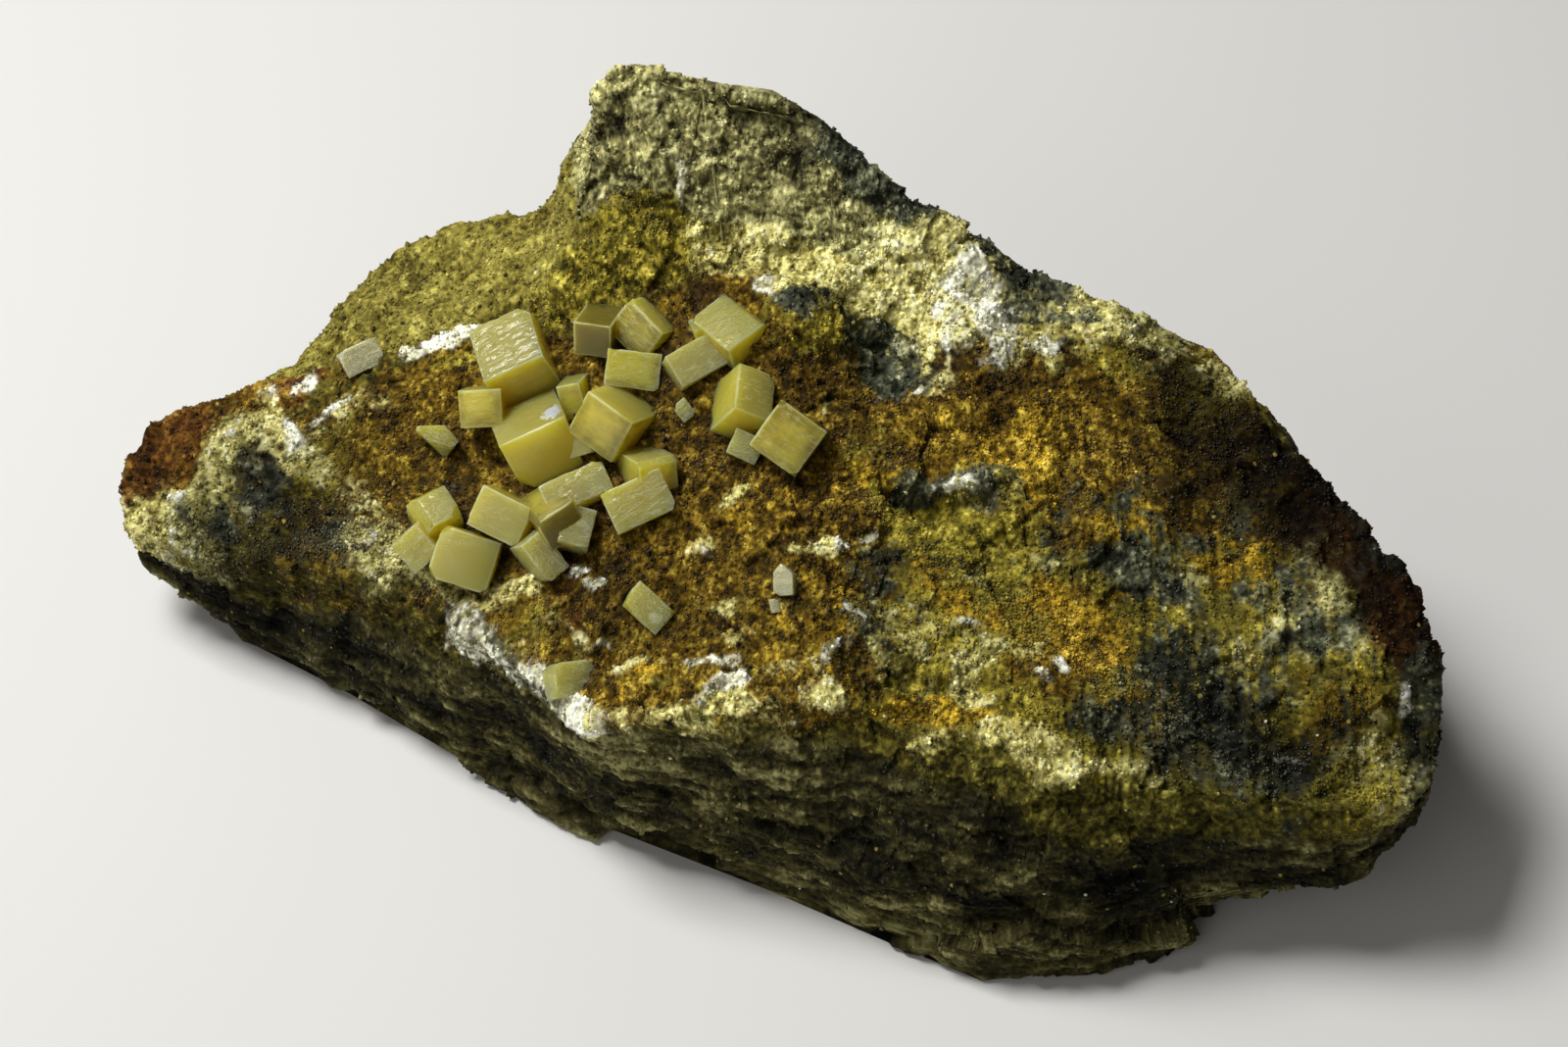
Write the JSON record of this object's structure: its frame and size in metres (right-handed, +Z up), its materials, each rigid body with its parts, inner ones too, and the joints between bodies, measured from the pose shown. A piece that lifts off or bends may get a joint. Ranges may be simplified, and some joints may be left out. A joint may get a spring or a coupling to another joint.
{
  "type": "wulfenite crystals on matrix rock",
  "caption": "Blocky honey-yellow wulfenite crystals in intergrown clusters on a tilted face of a loose, iron-stained matrix rock with a raised peak at the back.",
  "frame": {"origin": "on the flat foot, under the middle of the rock", "axes": "+X along the rock to its broad right-hand end, +Y to the back where the peak stands, +Z up"},
  "size_m": [0.0852, 0.0538, 0.0368],
  "materials": {
    "matrix_rock": "rough, granular, iron-stained",
    "honey_crystal": "waxy, cloudy translucent",
    "pale_crystal": "greyish, cloudy translucent"
  },
  "bodies": {
    "root": {"matrix_rock": "matrix_rock", "main_crystal_cluster": "honey_crystal", "upper_crystal_cluster": "honey_crystal", "upper_right_crystal_pair": "honey_crystal", "right_crystal_cluster": "honey_crystal", "edge_crystal_cluster": "honey_crystal", "left_single_crystal": "honey_crystal", "lower_single_crystal": "honey_crystal", "bottom_single_crystal": "honey_crystal", "rim_single_crystal": "pale_crystal", "small_single_crystal": "honey_crystal", "pale_crystal_chip": "pale_crystal"}
  },
  "joints": []
}
